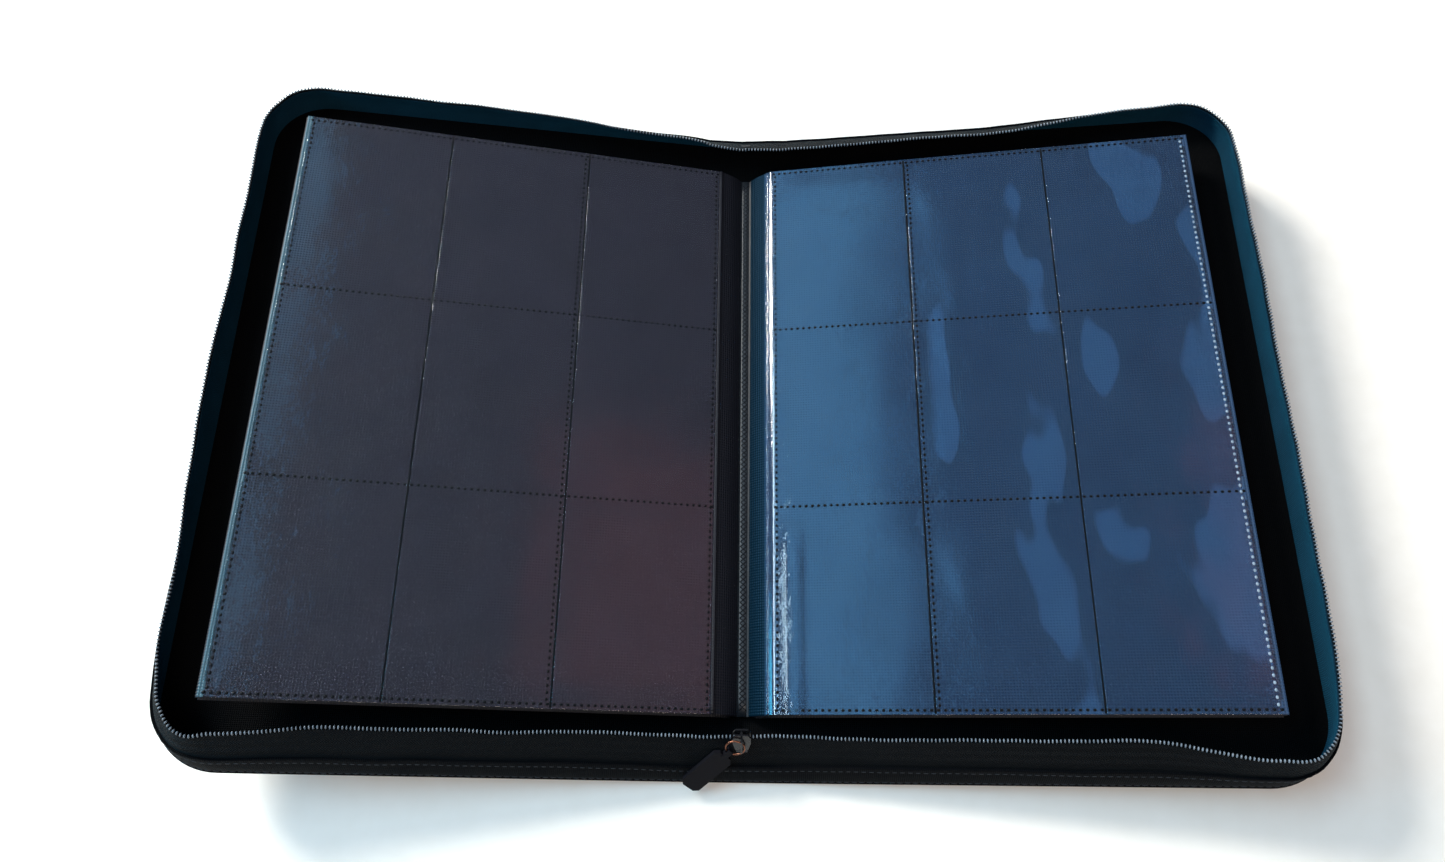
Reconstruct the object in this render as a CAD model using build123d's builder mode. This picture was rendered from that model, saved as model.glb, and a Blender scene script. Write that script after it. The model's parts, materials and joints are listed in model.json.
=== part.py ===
"""Zip-around nine-pocket trading card binder, lying open on its spine.

Millimetres, +Z up.  The origin is the middle of the spine's underside, +Y runs from the
foot of the spine to its head, the front cover is on the -X side and the back cover on +X.
"""

import os
from math import atan2, cos, degrees, radians, sin

from build123d import *

os.makedirs("parts", exist_ok=True)

# Covers
COVER_LENGTH = 348.0  # along the spine
COVER_WIDTH = 238.0  # from the hinge line to the outer edge
COVER_CORNER = 30.0
COVER_START = 0.8  # first material beyond the hinge line
HINGE_X = 21.0  # half the spine's width, so the closed binder is 46 mm thick
HINGE_Z = 2.0
FRONT_TILT = 9.5  # degrees above the table
BACK_TILT = 6.0
SKIN = 0.8  # woven outer fabric
BOARD = 2.3  # stiffening board
LINING = 0.7
SKIN_FACE = -HINGE_Z  # heights in a cover are counted from its hinge plane
BOARD_FACE = SKIN_FACE + SKIN
LINING_FACE = BOARD_FACE + BOARD
TRAY_FLOOR = LINING_FACE + LINING
EDGE_BINDING = 1.6  # width of the bound seam round a cover
BOARD_INSET = 3.5

# Zip wall standing round three sides of a cover
WALL_TOP = 20.7
WALL_LEAN = 16.0  # how far its two end walls lean in over the leaves
WALL_THICKNESS = 1.2
WALL_END_FOOT = 6.0  # where the wall starts beside the hinge, at its foot and at its top
WALL_END_TOP = 34.0
WALL_CUT_REACH = 5.0  # how far the trimming shapes pass beyond the wall
CORNER_TIGHTENING = 5.0  # less corner radius at the wall's top
TAPE_FOOT = 10.5
COIL_FOOT = 19.6
COIL_OVERHANG = 0.5

# Spine
SPINE_SKIN_HALF = 20.4
SPINE_BOARD_HALF = 17.5
SPINE_LINING_HALF = 18.5
SPINE_FLOOR = HINGE_Z + TRAY_FLOOR
BINDING_HALF = 3.5
BINDING_BASE = 0.5
BINDING_RIDGE_HALF = 0.6
BINDING_RIDGE_TOP = 5.6

# Leaves
POCKET_WIDTH = 72.0
POCKET_HEIGHT = 96.0
LEAF_OUTER_MARGIN = 2.0
LEAF_END_MARGIN = 2.0
LEAF_WIDTH = 3 * POCKET_WIDTH + LEAF_OUTER_MARGIN
LEAF_LENGTH = 3 * POCKET_HEIGHT + 2 * LEAF_END_MARGIN
LEAVES = 10  # on each side
LEAF_PITCH = 0.92
LEAF_THICKNESS = 0.6
FILM = 0.12
SLIT = 1.0  # opening between the pocket columns
FRONT_LEAF_TILT = 13.15
BACK_LEAF_TILT = 8.4
CREASE_X = 13.6
CREASE_Z = 16.0
BINDING_X = 1.0  # line where the leaves of one side are welded together
BINDING_Z = 5.3
MARGIN_THICKNESS = 0.3
WELD_BAR = 4.8  # reach of the fused part of the margins
FAN_START = 5.0
TOP_FAN_START = 9.0
CREASE_RADIUS = 0.35
CREASE_GAP = 0.8
CREASE_STAGGER = 0.23  # each lower margin stops this much further short of its crease

# Zip slider and pull, on the outer face of the foot wall
GUSSET_TOP = 18.0
GUSSET_SHOULDER = 7.0
GUSSET_NECK_HALF = 5.0
STOP_HALF = 2.5
STOP_HEIGHT = 2.5
STOP_ROUNDING = 0.5
SLIDER_FOOT = 21.0
SLIDER_LENGTH = 8.5
SLIDER_HALF = 4.0
SLIDER_PLATE = 1.0
SLIDER_GAP = 2.4
SLIDER_TOP_BEVEL = 1.5
SLIDER_NARROWING = 0.7  # width of its two ends, as a share of its middle
SHOULDER_SHARE = 0.45  # height of its widest line, as a share of its length
POST_HALF_WIDTH = 1.0
POST_HALF_LENGTH = 1.6
POST_FROM_TOP = 2.0
BRIDGE_WIDTH = 0.7
BRIDGE_CLEAR = 2.4
BRIDGE_BAR = 0.8
BRIDGE_INSET = 0.9  # from each end of the slider
BRIDGE_ROUNDING = 0.7
RING_FROM_TOP = 3.2  # where the ring threads the bridge, below the slider's top
PULL_ANGLE = 43.6  # how far the pull lies over towards the front cover
RING_RADIUS = 4.2
RING_WIRE = 0.42
RING_SLOPE = 5.0
TAB_LENGTH = 27.0
TAB_WIDTH = 10.0
TAB_THICKNESS = 2.0
TAB_LIFT = 4.0
TAB_START = 2.2  # from the middle of the ring's wire to the wide part
TAB_CORNER = 2.0
NECK_WIDTH = 2.6
NECK_THICKNESS = 2.8
NECK_START = -1.6
NECK_LENGTH = 5.0
NECK_HOLE = 0.9


def save(part, name):
    """Label a finished piece and write it as its own STEP file."""
    part.label = name
    export_step(part, f"parts/{name}.step")


def sloped_plane(side, tilt, x, z):
    """A plane hinged along Y: local x runs outwards on its side, rising by the tilt."""
    rise = radians(tilt)
    outwards = (side * cos(rise), 0, sin(rise))
    upwards = (-side * sin(rise), 0, cos(rise))
    return Plane(origin=(side * x, 0, z), x_dir=outwards, z_dir=upwards)


def section_vector(plane, point):
    """A point of a sloped plane, as X and Z in the binder's cross-section."""
    place = plane.from_local_coords(point)
    return Vector(place.X, place.Z)


# ---------------------------------------------------------------- covers


def cover_outline(height, start, inset):
    """Cover-shaped sketch on the current plane, narrowed as the wall's lean asks."""
    rise = max(0.0, height - TRAY_FLOOR) / (WALL_TOP - TRAY_FLOOR)
    half = COVER_LENGTH / 2 - WALL_LEAN * rise - inset
    reach = COVER_WIDTH - inset
    radius = COVER_CORNER - CORNER_TIGHTENING * rise - inset
    with BuildSketch(mode=Mode.PRIVATE) as outline:
        with Locations((start, 0)):
            Rectangle(reach - start, 2 * half, align=(Align.MIN, Align.CENTER))
        fillet(outline.vertices().group_by(Axis.X)[-1], radius)
    return outline.sketch


def cover_plate(plane, low, high, inset):
    """Flat layer of a cover, its two outer corners rounded."""
    with BuildPart() as plate:
        with BuildSketch(plane.offset(low)):
            add(cover_outline(TRAY_FLOOR, COVER_START, inset))
        extrude(amount=high - low)
    return plate.part


def edge_binding(plane):
    """Bound seam that closes the three outer edges of a cover."""
    with BuildPart() as binding:
        with BuildSketch(plane.offset(SKIN_FACE)):
            add(cover_outline(TRAY_FLOOR, COVER_START, 0))
            add(cover_outline(TRAY_FLOOR, 0, EDGE_BINDING), mode=Mode.SUBTRACT)
        extrude(amount=TRAY_FLOOR - SKIN_FACE)
    return binding.part


def wall_band(plane, low, high, overhang=0.0):
    """Band of the zip wall between two heights, cut away beside the spine."""
    section = Plane(origin=plane.origin, x_dir=plane.x_dir, z_dir=-plane.y_dir)
    above = WALL_TOP + WALL_CUT_REACH
    with BuildPart() as band:
        for height in (low, high):
            with BuildSketch(plane.offset(height)):
                add(cover_outline(height, COVER_START, -overhang))
        loft()
        for height in (low, high):
            with BuildSketch(plane.offset(height)):
                add(cover_outline(height, 0, WALL_THICKNESS + overhang))
        loft(mode=Mode.SUBTRACT)
        with BuildSketch(section):
            with BuildLine():
                Polyline(
                    (-WALL_CUT_REACH, 0),
                    (WALL_END_FOOT, TRAY_FLOOR),
                    (WALL_END_TOP, WALL_TOP),
                    (WALL_END_TOP, above),
                    (-WALL_CUT_REACH, above),
                    close=True,
                )
            make_face()
        extrude(amount=COVER_LENGTH, both=True, mode=Mode.SUBTRACT)
    return band.part


for cover_name, cover_side, cover_tilt in (("front", -1, FRONT_TILT), ("back", 1, BACK_TILT)):
    hinge_plane = sloped_plane(cover_side, cover_tilt, HINGE_X, HINGE_Z)
    skin = cover_plate(hinge_plane, SKIN_FACE, BOARD_FACE, EDGE_BINDING)
    save(skin, f"{cover_name}_cover_skin")
    board = cover_plate(hinge_plane, BOARD_FACE, LINING_FACE, BOARD_INSET)
    save(board, f"{cover_name}_cover_board")
    lining = cover_plate(hinge_plane, LINING_FACE, TRAY_FLOOR, EDGE_BINDING)
    save(lining, f"{cover_name}_cover_lining")
    save(edge_binding(hinge_plane), f"{cover_name}_edge_binding")
    save(wall_band(hinge_plane, TRAY_FLOOR, TAPE_FOOT), f"{cover_name}_gusset_wall")
    save(wall_band(hinge_plane, TAPE_FOOT, COIL_FOOT), f"{cover_name}_zip_tape")
    coil = wall_band(hinge_plane, COIL_FOOT, WALL_TOP, COIL_OVERHANG)
    save(coil, f"{cover_name}_zip_coil")


# ---------------------------------------------------------------- spine


def spine_plate(low, high, half):
    """Flat layer of the spine, as long as the covers."""
    with BuildPart() as plate:
        with BuildSketch(Plane.XY.offset(low)):
            Rectangle(2 * half, COVER_LENGTH)
        extrude(amount=high - low)
    return plate.part


save(spine_plate(0, SKIN, SPINE_SKIN_HALF), "spine_skin")
save(spine_plate(SKIN, SKIN + BOARD, SPINE_BOARD_HALF), "spine_board")
save(spine_plate(SKIN + BOARD, SPINE_FLOOR, SPINE_LINING_HALF), "spine_lining")

# Binding strip: a flat tape on the lining, with the raised ridge that the leaves meet.
with BuildPart() as binding_strip:
    with BuildSketch(Plane.XY.offset(SPINE_FLOOR)):
        Rectangle(2 * BINDING_HALF, LEAF_LENGTH)
    extrude(amount=BINDING_BASE)
    with BuildSketch(Plane.XY.offset(SPINE_FLOOR + BINDING_BASE)):
        Rectangle(2 * BINDING_RIDGE_HALF, LEAF_LENGTH)
    extrude(amount=BINDING_RIDGE_TOP - SPINE_FLOOR - BINDING_BASE)
save(binding_strip.part, "binding_strip")

# The foot wall's outer face: local x is X, local y climbs the wall, local z points outwards.
wall_climb = Vector(0, WALL_LEAN, WALL_TOP - TRAY_FLOOR).normalized()
wall_outwards = Vector(1, 0, 0).cross(wall_climb)
foot_wall = Plane(
    origin=(0, -COVER_LENGTH / 2, SPINE_FLOOR), x_dir=(1, 0, 0), z_dir=wall_outwards
)

# Folded fabric that closes the foot of the spine, narrowing to the zip's end.
with BuildPart() as foot_gusset:
    with BuildSketch(foot_wall):
        with BuildLine():
            Polyline(
                (-SPINE_LINING_HALF, 0),
                (SPINE_LINING_HALF, 0),
                (SPINE_LINING_HALF, GUSSET_SHOULDER),
                (GUSSET_NECK_HALF, GUSSET_TOP),
                (-GUSSET_NECK_HALF, GUSSET_TOP),
                (-SPINE_LINING_HALF, GUSSET_SHOULDER),
                close=True,
            )
        make_face()
    extrude(amount=-WALL_THICKNESS)
    # The wall leans, so its foot is trimmed level with the lining that it stands on.
    split(bisect_by=Plane.XY.offset(SPINE_FLOOR), keep=Keep.TOP)
save(foot_gusset.part, "foot_gusset")

# Moulded end stop over the joined zip tapes.
with BuildPart() as foot_end_stop:
    with BuildSketch(foot_wall.offset(-WALL_THICKNESS)):
        with Locations((0, GUSSET_TOP)):
            Rectangle(2 * STOP_HALF, STOP_HEIGHT, align=(Align.CENTER, Align.MIN))
    extrude(amount=WALL_THICKNESS)
    fillet(foot_end_stop.edges().filter_by(Axis((0, 0, 0), foot_wall.z_dir)), STOP_ROUNDING)
save(foot_end_stop.part, "foot_end_stop")

for head_name, foot_piece in (("head_gusset", foot_gusset), ("head_end_stop", foot_end_stop)):
    with BuildPart() as head_piece:
        add(foot_piece.part)
        mirror(about=Plane.XZ, mode=Mode.REPLACE)
    save(head_piece.part, head_name)


# ---------------------------------------------------------------- leaves


def leaf_sheet(plane, depth, thickness, start=CREASE_GAP):
    """One sheet of a leaf, its upper face a depth below the top leaf's plane."""
    with BuildPart() as sheet:
        with BuildSketch(plane.offset(-depth)):
            with Locations((start, 0)):
                Rectangle(LEAF_WIDTH - start, LEAF_LENGTH, align=(Align.MIN, Align.CENTER))
        extrude(amount=-thickness)
    return sheet.part


def pocket_film(plane, depth):
    """Clear pocket film in three strips, with an open slit between the columns."""
    strip = POCKET_WIDTH - SLIT
    with BuildPart() as film:
        with BuildSketch(plane.offset(-depth)):
            for column in range(3):
                with Locations(((column + 0.5) * POCKET_WIDTH + CREASE_GAP, 0)):
                    Rectangle(strip, LEAF_LENGTH)
        extrude(amount=-FILM)
    return film.part


def section_strip(start, end, thickness):
    """Straight strip along the leaves, drawn in the binder's cross-section."""
    run = end - start
    turn = degrees(atan2(run.Y, run.X))
    with BuildPart() as strip:
        with BuildSketch(Plane.XZ):
            with Locations(Location((start.X, start.Y), turn)):
                Rectangle(run.length, thickness, align=(Align.MIN, Align.CENTER))
        extrude(amount=LEAF_LENGTH / 2, both=True)
    return strip.part


def margin(side, plane, leaf, start):
    """Margin of one leaf, from near the binding to just short of its crease."""
    binding = Vector(side * BINDING_X, BINDING_Z)
    crease = section_vector(plane, (0, 0, -LEAF_PITCH * leaf))
    run = (crease - binding).normalized()
    first = binding + run * start
    last = crease - run * (CREASE_GAP + CREASE_STAGGER * leaf)
    return section_strip(first, last, MARGIN_THICKNESS)


def weld_bar(side, plane):
    """Fused inner ends of the margins: a wedge that fills their fan near the binding."""
    binding = Vector(side * BINDING_X, BINDING_Z)
    upper = section_vector(plane, (0, 0, -LEAF_PITCH))
    lower = section_vector(plane, (0, 0, -LEAF_PITCH * (LEAVES - 1)))
    corners = [binding]
    for target in (upper, (upper + lower) * 0.5, lower):
        corners.append(binding + (target - binding).normalized() * WELD_BAR)
    with BuildPart() as bar:
        with BuildSketch(Plane.XZ):
            with BuildLine():
                Polyline(*[(corner.X, corner.Y) for corner in corners], close=True)
            make_face()
        extrude(amount=LEAF_LENGTH / 2, both=True)
    return bar.part


def leaf_stack(name, side, plane):
    """The leaves under the top one, their fanned margins and the weld bar."""
    for leaf in range(1, LEAVES):
        sheet = leaf_sheet(plane, LEAF_PITCH * leaf, LEAF_THICKNESS)
        save(sheet, f"{name}_leaf_{leaf + 1:02d}")
    margins = [margin(side, plane, leaf, FAN_START) for leaf in range(1, LEAVES)]
    save(Compound(children=margins), f"{name}_leaf_margins")
    save(weld_bar(side, plane), f"{name}_weld_bar")


def top_leaf(name, plane):
    """Backing sheet with a pocket film on each face."""
    save(pocket_film(plane, 0), f"{name}_top_leaf_front_film")
    save(leaf_sheet(plane, FILM, LEAF_THICKNESS - 2 * FILM), f"{name}_top_leaf_backing")
    save(pocket_film(plane, LEAF_THICKNESS - FILM), f"{name}_top_leaf_back_film")


front_leaves = sloped_plane(-1, FRONT_LEAF_TILT, CREASE_X, CREASE_Z)
back_leaves = sloped_plane(1, BACK_LEAF_TILT, CREASE_X, CREASE_Z)
leaf_stack("front", -1, front_leaves)
leaf_stack("back", 1, back_leaves)
top_leaf("front", front_leaves)
top_leaf("back", back_leaves)
save(margin(-1, front_leaves, 0, TOP_FAN_START), "front_top_leaf_margin")
save(margin(1, back_leaves, 0, TOP_FAN_START), "back_top_leaf_margin")

# Rib of the folded crease between the top front leaf and its margin.
with BuildPart() as front_top_leaf_crease:
    with BuildSketch(Plane.XZ):
        with Locations((-CREASE_X, CREASE_Z)):
            Circle(CREASE_RADIUS)
    extrude(amount=LEAF_LENGTH / 2, both=True)
save(front_top_leaf_crease.part, "front_top_leaf_crease")


# ---------------------------------------------------------------- slider and pull

slider_middle = -WALL_THICKNESS / 2
slider_face = slider_middle + SLIDER_GAP / 2 + SLIDER_PLATE
slider_top = SLIDER_FOOT + SLIDER_LENGTH


def slider_outline():
    """Shouldered outline of a slider plate, on the current plane."""
    shoulder = SLIDER_FOOT + SLIDER_LENGTH * SHOULDER_SHARE
    end_half = SLIDER_HALF * SLIDER_NARROWING
    with BuildSketch(mode=Mode.PRIVATE) as outline:
        with BuildLine():
            Polyline(
                (-end_half, SLIDER_FOOT),
                (end_half, SLIDER_FOOT),
                (SLIDER_HALF, shoulder),
                (SLIDER_HALF, slider_top - SLIDER_TOP_BEVEL),
                (end_half, slider_top),
                (-end_half, slider_top),
                (-SLIDER_HALF, slider_top - SLIDER_TOP_BEVEL),
                (-SLIDER_HALF, shoulder),
                close=True,
            )
        make_face()
    return outline.sketch


# Two plates joined by the post that parts the two rows of teeth.
with BuildPart() as zip_slider:
    with BuildSketch(foot_wall.offset(slider_face - SLIDER_PLATE)):
        add(slider_outline())
    extrude(amount=SLIDER_PLATE)
    with BuildSketch(foot_wall.offset(slider_face - 2 * SLIDER_PLATE - SLIDER_GAP)):
        add(slider_outline())
    extrude(amount=SLIDER_PLATE)
    with BuildSketch(foot_wall.offset(slider_face - SLIDER_PLATE)):
        with Locations((0, slider_top - POST_FROM_TOP)):
            Ellipse(POST_HALF_WIDTH, POST_HALF_LENGTH)
    extrude(amount=-SLIDER_GAP)
save(zip_slider.part, "zip_slider")

# Arched bridge along the slider's outer plate.
bridge_section = Plane(
    origin=foot_wall.from_local_coords((-BRIDGE_WIDTH / 2, 0, slider_face)),
    x_dir=foot_wall.y_dir,
    z_dir=foot_wall.x_dir,
)
bridge_top = BRIDGE_CLEAR + BRIDGE_BAR
bridge_length = SLIDER_LENGTH - 2 * BRIDGE_INSET
bridge_middle = SLIDER_FOOT + SLIDER_LENGTH / 2
with BuildPart() as slider_bridge:
    with BuildSketch(bridge_section) as arch:
        with Locations((bridge_middle, bridge_top / 2)):
            Rectangle(bridge_length, bridge_top)
        fillet(arch.vertices().group_by(Axis.Y)[-1], BRIDGE_ROUNDING)
        with Locations((bridge_middle, BRIDGE_CLEAR / 2)):
            Rectangle(bridge_length - 2 * BRIDGE_BAR, BRIDGE_CLEAR, mode=Mode.SUBTRACT)
    extrude(amount=BRIDGE_WIDTH)
save(slider_bridge.part, "slider_bridge")

# The ring threads the bridge and lies over towards the front cover.
lie = radians(PULL_ANGLE)
pull_run = foot_wall.x_dir * -sin(lie) + foot_wall.y_dir * -cos(lie)
pull_across = foot_wall.x_dir * cos(lie) + foot_wall.y_dir * -sin(lie)
slope = radians(RING_SLOPE)
ring_run = pull_run * cos(slope) - foot_wall.z_dir * sin(slope)
threading = (0, slider_top - RING_FROM_TOP, slider_face + BRIDGE_CLEAR / 2)
ring_near = foot_wall.from_local_coords(threading)
ring_far = ring_near + ring_run * (2 * RING_RADIUS)
ring_plane = Plane(
    origin=ring_near + ring_run * RING_RADIUS,
    x_dir=ring_run,
    z_dir=pull_across.cross(ring_run),
)
with BuildPart(ring_plane) as pull_ring:
    Torus(RING_RADIUS, RING_WIRE)
save(pull_ring.part, "pull_ring")

# Soft tab with cut corners and a narrow neck moulded round the ring.
lift = radians(TAB_LIFT)
tab_run = pull_run * cos(lift) + foot_wall.z_dir * sin(lift)
tab_plane = Plane(origin=ring_far, x_dir=tab_run, z_dir=pull_across.cross(tab_run))
with BuildPart() as pull_tab:
    with BuildSketch(tab_plane.offset(-TAB_THICKNESS / 2)) as tab_face:
        with Locations((TAB_START, 0)):
            Rectangle(TAB_LENGTH - TAB_START, TAB_WIDTH, align=(Align.MIN, Align.CENTER))
        chamfer(tab_face.vertices(), TAB_CORNER)
    extrude(amount=TAB_THICKNESS)
    with BuildSketch(tab_plane.offset(-NECK_THICKNESS / 2)):
        with Locations((NECK_START, 0)):
            Rectangle(NECK_LENGTH, NECK_WIDTH, align=(Align.MIN, Align.CENTER))
    extrude(amount=NECK_THICKNESS)
    with BuildSketch(Plane(origin=ring_far, x_dir=tab_run, z_dir=pull_across)):
        Circle(NECK_HOLE)
    extrude(amount=TAB_WIDTH, both=True, mode=Mode.SUBTRACT)
save(pull_tab.part, "pull_tab")
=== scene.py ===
"""Zip-around pocket-leaf binder: cloth, leaves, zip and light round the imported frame.

Shapes are worked out in millimetres and turned to metres when a mesh is made.
The front cover is on the -X side, the back cover on +X, and the zip closes at -Y.
"""
import json
from math import cos, pi, radians, sin

import bmesh
import bpy
import numpy as np
from mathutils import Matrix, Vector


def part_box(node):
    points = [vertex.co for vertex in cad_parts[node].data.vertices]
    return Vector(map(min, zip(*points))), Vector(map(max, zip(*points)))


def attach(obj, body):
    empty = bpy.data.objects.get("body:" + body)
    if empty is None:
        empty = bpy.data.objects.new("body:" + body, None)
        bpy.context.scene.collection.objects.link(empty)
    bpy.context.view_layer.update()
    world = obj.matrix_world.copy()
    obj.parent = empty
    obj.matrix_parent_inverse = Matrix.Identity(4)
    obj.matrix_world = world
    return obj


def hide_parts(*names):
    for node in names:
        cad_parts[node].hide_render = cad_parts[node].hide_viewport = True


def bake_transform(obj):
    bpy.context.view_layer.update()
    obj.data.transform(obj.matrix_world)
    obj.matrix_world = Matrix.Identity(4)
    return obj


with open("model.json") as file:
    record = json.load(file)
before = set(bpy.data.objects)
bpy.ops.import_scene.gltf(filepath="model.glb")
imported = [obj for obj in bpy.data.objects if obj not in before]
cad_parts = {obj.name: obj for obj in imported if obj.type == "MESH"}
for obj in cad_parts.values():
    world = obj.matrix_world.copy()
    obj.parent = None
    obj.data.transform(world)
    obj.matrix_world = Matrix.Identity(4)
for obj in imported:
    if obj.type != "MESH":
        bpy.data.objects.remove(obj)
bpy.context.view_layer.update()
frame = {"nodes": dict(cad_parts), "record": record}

MM = 0.001


# ---- sizes


def joint(name):
    """A joint of the record."""
    return next(j for j in frame["record"]["behaviour"]["joints"] if j["name"] == name)


def joint_place(name):
    """X and Z of a hinge, in millimetres from the middle of the spine."""
    place = joint(name)["pos_m"]
    return abs(place[0]) / MM, place[2] / MM


SIDES = {"front": -1, "back": 1}
TILT = {name: radians(-joint(f"{name}_cover_hinge")["range_deg"][0]) for name in SIDES}
HINGE_X, HINGE_Z = joint_place("front_cover_hinge")
CREASE_X, CREASE_Z = joint_place("front_crease_hinge")
BINDING_X, BINDING_Z = joint_place("front_margin_hinge")
HALF_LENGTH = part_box("spine_skin")[1][1] / MM
LEAF_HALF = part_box("front_leaf_02")[1][1] / MM
COVER_WIDTH = 238.0  # hinge to outer edge
CORNER = 30.0
SKIN_FACE = -HINGE_Z  # heights in a cover count from its hinge plane
BOARD_FACE = SKIN_FACE + 0.8
LINING_FACE = BOARD_FACE + 2.3
TRAY_FLOOR = LINING_FACE + 0.7
GLUE_GAP = 0.05  # between a cover's board and its cloths
SKIN_INSET, LINING_INSET = 0.6, 1.0  # of a cover's cloths from its outer edge
BEND_START, BEND_END = 19.0, 27.0  # where cloth turns from the spine into a cover

WALL_FOOT = -1.2
WALL_FOLD = 10.5  # top of the lower wall, where the zip tape comes out
TAPE_FOOT, TAPE_TOP = WALL_FOLD - 2.0, 19.6
TEETH = 20.3
NAP_FOOT, NAP_TOP = 0.9, 17.8  # of the wall's inner cloth
SEAMS = (WALL_FOLD - 1.9, 1.2)
WELT = -0.6
# Insets of a wall's layers from its cover's edge, outermost first.
SEAM_INSET, WELT_INSET, WALL_INSET, TAPE_INSET, NAP_INSET = 0.02, 0.4, 0.6, 1.3, 1.95
TAPE_THICKNESS, NAP_THICKNESS = 0.6, 0.5
LEAN = 16.0  # how far the top of a wall leans in at the spine
LEAN_CURVE = 1.15
BELLY = 1.4
WALL_WAVES, WALL_PLEATS, EDGE_WAVES = (0.9, 90), (0.3, 20), (0.5, 120)  # size and length
PLEATS_REACH = 26  # from the middle of a corner
STILL_END = 20  # of a wall at the spine, before it is at its softest

LEAF_TILT = {"front": radians(13.15), "back": radians(8.4)}
LEAF_WIDTH = 218.0
LEAF_PITCH = 0.92
LEAF_THICKNESS = 0.6
LEAVES = 10
UNDER_SHEET, TOP_SHEET = 0.5, 0.36  # thickness of the embossed sheets
LEAF_WAVES = {"front": (0.12, 210, 31), "back": (0.45, 210, 47)}  # size, length and seed
LEAF_SETTLING = 70  # out from its crease, before a leaf has its full waves
LEAF_SAG = 0.3
LEAF_SEEDS = {"front": 100, "back": 150}
CREASE_ROUNDING = 2.2
TOP_MARGIN, SECOND_MARGIN, UNDER_MARGIN = 2.6, 4.6, 5.2  # where they start, from the binding
MARGIN_BOW, TURNING_BOW = 0.5, 0.6

FILM = 0.12
FILM_GAP = 0.04  # between a film and the leaf's face at the welds
FILM_SWELL = 0.32
TAUT_SLACK, LOOSE_SLACK = 0.08, 0.26  # how uneven that swell is
FILM_WAVE = 60
FILM_SEED = 70
UNDER_SWELL = 0.3  # share of the swell that the film underneath shows
WELD_SWELL = 0.3  # share of the swell that is left beside a welded side
SIDE_RISE = 0.33  # share of a pocket's width in which its film rises
END_STEEPNESS = 9  # full height within a ninth of a pocket's height
FOLD_HEIGHT, FOLD_OUT, FOLD_WIDTH, FOLD_TOP, FOLD_FADE = 0.55, 10, 5, -30, 50
POCKET_COLUMNS = 3
POCKET_WIDTH, POCKET_HEIGHT = 72.0, 96.0
POCKET_START = 0.8
SLIT = 1.0
BORDER = 2.7  # of a top leaf, outside its welds
WELD_ROWS = (-1.5, -0.5, 0.5, 1.5)  # across the leaf, in pocket heights from its middle
WELD_COLUMNS = (2.6, POCKET_WIDTH + POCKET_START + 2.0, LEAF_WIDTH - 3.6)
WELD_END = 4  # left clear at each end of a line along the leaf
WELD_HEIGHT, SLIT_SHADE_HEIGHT, BORDER_HEIGHT = 0.1, -0.05, 0.02  # over the top leaf's plane

# Rows of small blocks: their pitch, and each block's length, width and height.
TEETH_ROW = (1.7, (0.75, 1.5, 1.8))
STITCH_ROW = (3.4, (2.5, 0.55, 0.5))
WELD_ROW = (3.0, (1.6, 1.3, 0.5))
ZIGZAG_ROW = (0.55, (0.75, 0.5, 0.4))
BLOCK_CUBE = 1.25  # a cube that smoothing brings back to about 1

ZIGZAG_STEP = 2.5  # along the spine, from one turn of the zigzag to the next
ZIGZAG_SWING = 1.4
ZIGZAG_HEIGHT, STRIP_HEIGHT = 1.05, 0.35  # over the binding

WAVE_SHARES = (1.0, 0.6, 0.4, 0.25)
ACROSS, UPWARDS = np.array([1.0, 0, 0]), np.array([0, 0, 1.0])
RIM_SHARE = 0.05  # how close a sheet's rim line is, as a share of its grid's step

# ---- mesh helpers


def smoothstep(value):
    """Smooth change from 0 to 1."""
    value = np.clip(value, 0.0, 1.0)
    return value * value * (3 - 2 * value)


def spread(stations, values, at):
    """Values at stations along a path, joined by smooth changes."""
    result = np.full(np.shape(at), float(values[0]))
    for start, end, low, high in zip(stations, stations[1:], values, values[1:]):
        result += (high - low) * smoothstep((at - start) / (end - start))
    return result


def ripple(along, across, size, length, seed):
    """Gentle uneven waves of a soft sheet, the same on every run."""
    draw = np.random.default_rng(seed)
    total = np.zeros(np.broadcast(along, across).shape)
    for share in WAVE_SHARES:
        turn, phase = draw.uniform(0, 2 * pi, 2)
        wave = length * share * draw.uniform(0.8, 1.25)
        total += share * np.sin(
            2 * pi * (along * cos(turn) + across * sin(turn)) / wave + phase
        )
    return size * total / sum(WAVE_SHARES)


def unit(vectors):
    """Vectors brought to a length of 1."""
    return vectors / np.linalg.norm(vectors, axis=-1, keepdims=True)


def make_object(name, mesh, material):
    """Put a mesh in the scene with one material."""
    mesh.materials.clear()
    mesh.materials.append(material)
    made = bpy.data.objects.new(name, mesh)
    bpy.context.scene.collection.objects.link(made)
    return made


def build(name, points, faces, uv, material, flat_faces=0):
    """Closed mesh from points in millimetres; its last flat_faces faces are a sharp rim."""
    mesh = bpy.data.meshes.new(name)
    mesh.from_pydata((np.asarray(points) * MM).tolist(), [], faces)
    shading = np.ones(len(faces), bool)
    if flat_faces:
        shading[-flat_faces:] = False
    mesh.polygons.foreach_set("use_smooth", shading)
    layer = mesh.uv_layers.new(name="Cloth")
    corners = np.empty(len(mesh.loops), np.int32)
    mesh.loops.foreach_get("vertex_index", corners)
    layer.data.foreach_set("uv", (np.asarray(uv) * MM)[corners].astype(np.float32).ravel())
    work = bmesh.new()
    work.from_mesh(mesh)
    bmesh.ops.recalc_face_normals(work, faces=work.faces)
    work.to_mesh(mesh)
    work.free()
    return make_object(name, mesh, material)


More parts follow.
